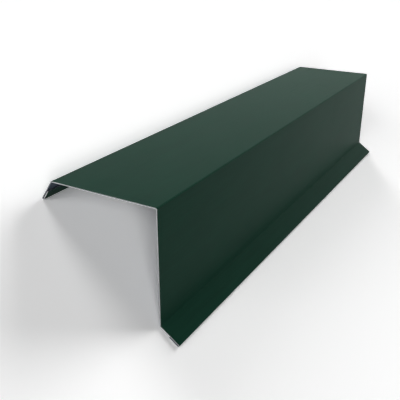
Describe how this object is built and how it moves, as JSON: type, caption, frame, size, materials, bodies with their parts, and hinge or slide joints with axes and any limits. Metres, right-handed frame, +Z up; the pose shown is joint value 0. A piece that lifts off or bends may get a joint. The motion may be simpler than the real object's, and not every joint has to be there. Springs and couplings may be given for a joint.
{
  "type": "verge flashing",
  "caption": "Folded sheet-metal roof-edge trim: a flange and a face at a right angle, a turned-down lip, a turned-out drip edge and folded hems.",
  "frame": {"origin": "centre of the footprint, on the floor that the loose strip lies on", "axes": "+Y along the strip's length; +Z up as it lies on its two long edges with the main bend on top; +X from the lip edge to the drip edge"},
  "size_m": [0.1546, 0.5, 0.0777],
  "materials": {
    "coated_sheet": "smooth satin dark green coil coat on the outside, grey-blue back coat inside, bare cut ends"
  },
  "bodies": {
    "root": {"verge_flashing": "coated_sheet"}
  },
  "joints": []
}
